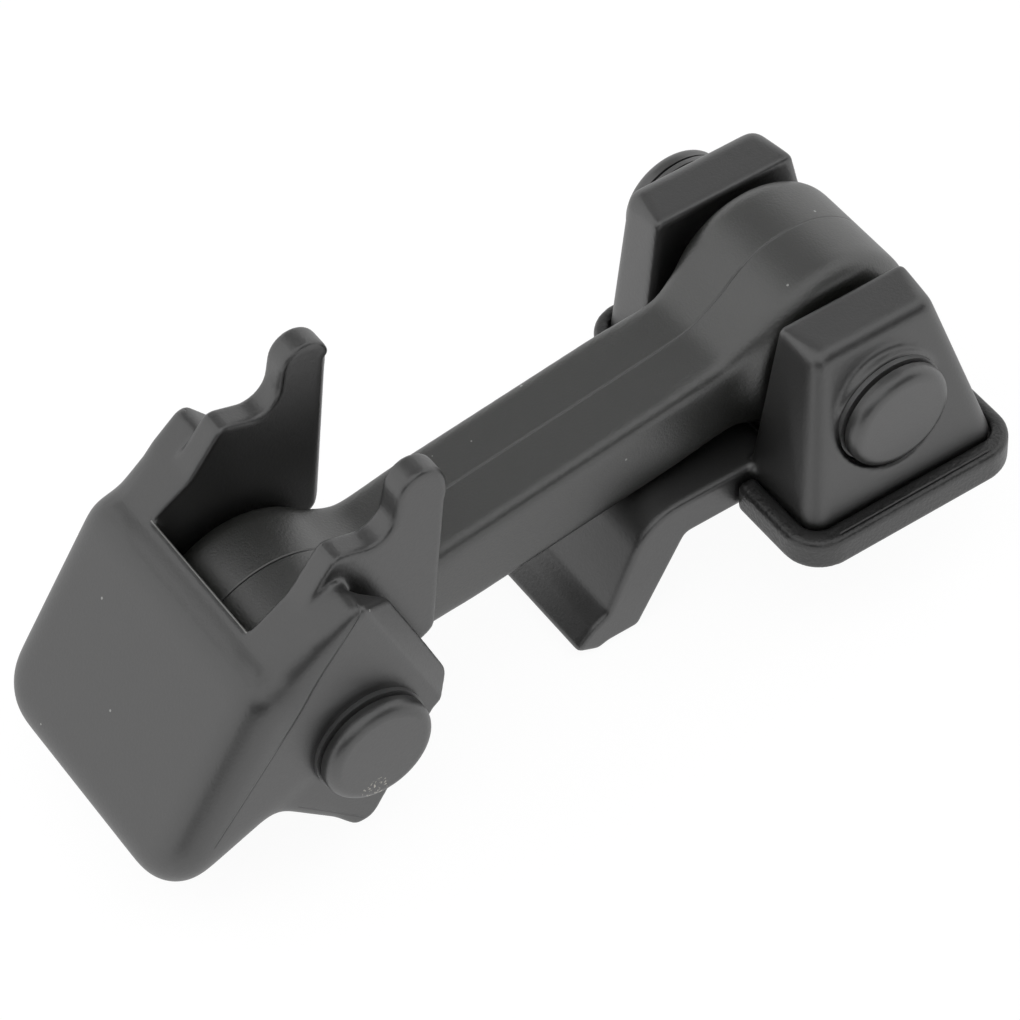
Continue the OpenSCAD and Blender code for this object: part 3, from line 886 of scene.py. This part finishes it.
class LATCH_OT_stage(bpy.types.Operator):
    """Sets up the floor, the lights and the camera"""
    bl_idname = "latch.stage"
    bl_label = "Stage"

    def execute(self, context):
        stage = settings().stage
        scene = context.scene
        scene.view_settings.view_transform = "Standard"
        level = cad_box[0][2]
        mesh = bpy.data.meshes.new("studio_floor")
        corners = [(x * FLOOR_HALF, y * FLOOR_HALF, level) for x, y in ((-1, -1), (1, -1), (1, 1), (-1, 1))]
        mesh.from_pydata(corners, [], [(0, 1, 2, 3)])
        ground = bpy.data.objects.new("studio_floor", mesh)
        scene.collection.objects.link(ground)
        mesh.materials.append(floor_material())
        studio_world(DOME_STRENGTH * stage.light)
        for card in CARDS:
            dark_card(*card)
        camera = bpy.data.objects.new("camera", bpy.data.cameras.new("camera"))
        scene.collection.objects.link(camera)
        forward = Vector((math.sin(stage.azimuth) * math.cos(stage.elevation),
                          math.cos(stage.azimuth) * math.cos(stage.elevation), -math.sin(stage.elevation)))
        level_right = forward.cross(Vector((0, 0, 1))).normalized()
        right = Matrix.Rotation(stage.roll, 3, forward) @ level_right
        up = right.cross(forward)
        camera.matrix_world = Matrix.LocRotScale(
            Vector(stage.look_at) - forward * stage.distance,
            Matrix((right, up, -forward)).transposed(), None)
        camera.data.lens = stage.focal
        camera.data.sensor_width = 36.0
        camera.data.clip_start = 0.01
        scene.camera = camera
        return {"FINISHED"}


class LATCH_PT_panel(bpy.types.Panel):
    """The latch's operators and settings"""
    bl_idname = "LATCH_PT_panel"
    bl_label = "Hood hold-down latch"
    bl_space_type = "VIEW_3D"
    bl_region_type = "UI"
    bl_category = "Latch"

    def draw(self, context):
        for step in STEPS:
            self.layout.operator(step)
        for group in ("moulding", "colours", "stage"):
            box = self.layout.box()
            box.label(text=group.capitalize())
            part = getattr(settings(), group)
            for name in part.__annotations__:
                box.prop(part, name)


STEPS = ("latch.stage", "latch.handle", "latch.bracket", "latch.strap", "latch.heads", "latch.metal")
CLASSES = (LatchMoulding, LatchColours, LatchStage, LatchSettings, LATCH_OT_handle, LATCH_OT_bracket,
           LATCH_OT_strap, LATCH_OT_heads, LATCH_OT_metal, LATCH_OT_stage, LATCH_PT_panel)


def register():
    for cls in CLASSES:
        bpy.utils.register_class(cls)
    bpy.types.Scene.latch = bpy.props.PointerProperty(type=LatchSettings)


def unregister():
    del bpy.types.Scene.latch
    for cls in reversed(CLASSES):
        bpy.utils.unregister_class(cls)


def run_step(name):
    """Calls one of the latch's operators by its name."""
    group, operator = name.split(".")
    getattr(getattr(bpy.ops, group), operator)()


def main():
    register()
    for step in STEPS:
        run_step(step)
    bpy.context.view_layer.update()


if __name__ == "__main__":
    main()
